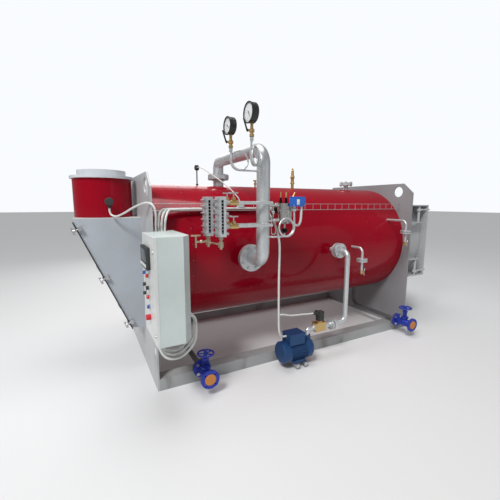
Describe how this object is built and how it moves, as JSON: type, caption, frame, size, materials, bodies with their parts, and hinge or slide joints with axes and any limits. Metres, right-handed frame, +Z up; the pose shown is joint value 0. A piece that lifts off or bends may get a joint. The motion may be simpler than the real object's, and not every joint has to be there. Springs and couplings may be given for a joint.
{
  "type": "industrial boiler",
  "caption": "Horizontal skid-mounted shell boiler with a red round jacket, sloped flue smokebox, steam column, level gauges, control cabinet, feed pump and hinged burner door.",
  "frame": {"origin": "foot of the flue end plate, on its outer face, in the boiler's middle plane at floor level", "axes": "+X along the shell towards the burner end, +Y away from the side with the cabinet and valves, +Z up"},
  "size_m": [3.8861, 1.9115, 2.199],
  "materials": {
    "grey_paint": "satin light grey paint",
    "duct_paint": "satin blue-grey paint",
    "red_jacket": "gloss crimson",
    "plain_steel": "bare steel",
    "silver_pipe": "silver pipe paint",
    "stainless": "polished stainless",
    "fitting_brass": "turned brass",
    "cabinet_paint": "pale powder coat",
    "dark_pipe": "dark paint",
    "valve_blue": "royal blue enamel",
    "pump_blue": "dark blue enamel",
    "cap_orange": "matt protective cap",
    "gauge_black": "gloss black",
    "switch_blue": "bright blue",
    "control_black": "black controls",
    "conduit_grey": "off-white conduit",
    "furnace_steel": "heat-stained steel"
  },
  "bodies": {
    "boiler": {"left_end_plate": "grey_paint", "right_end_plate": "grey_paint", "front_skid_beam": "grey_paint", "rear_skid_beam": "grey_paint", "shell_jacket": "red_jacket", "furnace_tube": "furnace_steel", "smokebox": "duct_paint", "smokebox_cover": "duct_paint", "cover_clamps": "plain_steel", "chimney_stub": "red_jacket", "flue_collar": "grey_paint", "flue_sensor": "control_black", "steam_column": "silver_pipe", "gauge_frames": "silver_pipe", "gauge_pipes": "silver_pipe", "gauge_drains": "silver_pipe", "gauge_valves": "fitting_brass", "small_pressure_gauge": "gauge_black", "large_pressure_gauge": "gauge_black", "electrode_chamber": "stainless", "electrodes": "fitting_brass", "siphons": "silver_pipe", "pressure_switch": "switch_blue", "top_valves": "fitting_brass", "shell_sensor": "control_black", "cable_tray": "plain_steel", "cabinet_duct": "cabinet_paint", "control_cabinet": "cabinet_paint", "feed_pump": "pump_blue", "pump_rails": "plain_steel", "feed_line": "silver_pipe", "shell_nozzles": "silver_pipe", "solenoid_valve": "fitting_brass", "solenoid_coil": "control_black", "sample_lines": "silver_pipe", "sample_cocks": "fitting_brass", "blowdown_pipes": "dark_pipe", "blowdown_valves": "valve_blue", "blowdown_caps": "cap_orange", "burner_frame": "grey_paint", "fasteners": "plain_steel", "tray_conduits": "conduit_grey", "flue_conduit": "conduit_grey", "shell_conduit": "conduit_grey", "pump_conduits": "conduit_grey", "chamber_conduits": "conduit_grey", "cabinet_loops": "conduit_grey"},
    "cabinet_door": {"cabinet_door": "cabinet_paint", "door_controls": "control_black"},
    "burner_door": {"burner_door": "grey_paint"},
    "gauge_handle_front_upper": {"gauge_handle_front_upper": "plain_steel"},
    "gauge_handle_front_lower": {"gauge_handle_front_lower": "plain_steel"},
    "gauge_handle_rear_upper": {"gauge_handle_rear_upper": "plain_steel"},
    "gauge_handle_rear_lower": {"gauge_handle_rear_lower": "plain_steel"},
    "small_cock_lever": {"small_cock_lever": "gauge_black"},
    "large_cock_lever": {"large_cock_lever": "gauge_black"},
    "sample_lever_middle": {"sample_lever_middle": "plain_steel"},
    "sample_lever_right": {"sample_lever_right": "plain_steel"},
    "handwheel_left": {"handwheel_left": "valve_blue"},
    "handwheel_right": {"handwheel_right": "valve_blue"}
  },
  "joints": [
    {"name": "cabinet_door_hinge", "type": "hinge", "parent": "boiler", "child": "cabinet_door", "pos_m": [-0.063, -0.727, 0.9], "axis": [0, 0, -1], "range_deg": [0, 120]},
    {"name": "burner_door_hinge", "type": "hinge", "parent": "boiler", "child": "burner_door", "pos_m": [3.15, -0.7, 1.054], "axis": [0, 0, -1], "range_deg": [0, 110]},
    {"name": "handwheel_left_spin", "type": "hinge", "parent": "boiler", "child": "handwheel_left", "pos_m": [0.348, -0.9, 0.322], "axis": [0, 0, 1], "range_deg": [0, 1080]},
    {"name": "handwheel_right_spin", "type": "hinge", "parent": "boiler", "child": "handwheel_right", "pos_m": [2.755, -0.9, 0.322], "axis": [0, 0, 1], "range_deg": [0, 1080]},
    {"name": "gauge_handle_front_upper_turn", "type": "hinge", "parent": "boiler", "child": "gauge_handle_front_upper", "pos_m": [0.543, -1.022, 1.505], "axis": [0, 0, 1], "range_deg": [0, 90]},
    {"name": "gauge_handle_front_lower_turn", "type": "hinge", "parent": "boiler", "child": "gauge_handle_front_lower", "pos_m": [0.543, -1.022, 1.332], "axis": [0, 0, 1], "range_deg": [0, 90]},
    {"name": "gauge_handle_rear_upper_turn", "type": "hinge", "parent": "boiler", "child": "gauge_handle_rear_upper", "pos_m": [0.543, -0.905, 1.505], "axis": [0, 0, 1], "range_deg": [0, 90]},
    {"name": "gauge_handle_rear_lower_turn", "type": "hinge", "parent": "boiler", "child": "gauge_handle_rear_lower", "pos_m": [0.543, -0.905, 1.332], "axis": [0, 0, 1], "range_deg": [0, 90]},
    {"name": "small_cock_turn", "type": "hinge", "parent": "boiler", "child": "small_cock_lever", "pos_m": [0.528, -0.946, 1.946], "axis": [1, 0, 0], "range_deg": [0, 90]},
    {"name": "large_cock_turn", "type": "hinge", "parent": "boiler", "child": "large_cock_lever", "pos_m": [0.619, -1.1035, 2.007], "axis": [1, 0, 0], "range_deg": [0, 90]},
    {"name": "sample_middle_turn", "type": "hinge", "parent": "boiler", "child": "sample_lever_middle", "pos_m": [2.158, -0.8, 0.785], "axis": [1, 0, 0], "range_deg": [0, 90]},
    {"name": "sample_right_turn", "type": "hinge", "parent": "boiler", "child": "sample_lever_right", "pos_m": [2.776, -0.835, 1.061], "axis": [1, 0, 0], "range_deg": [0, 90]}
  ]
}
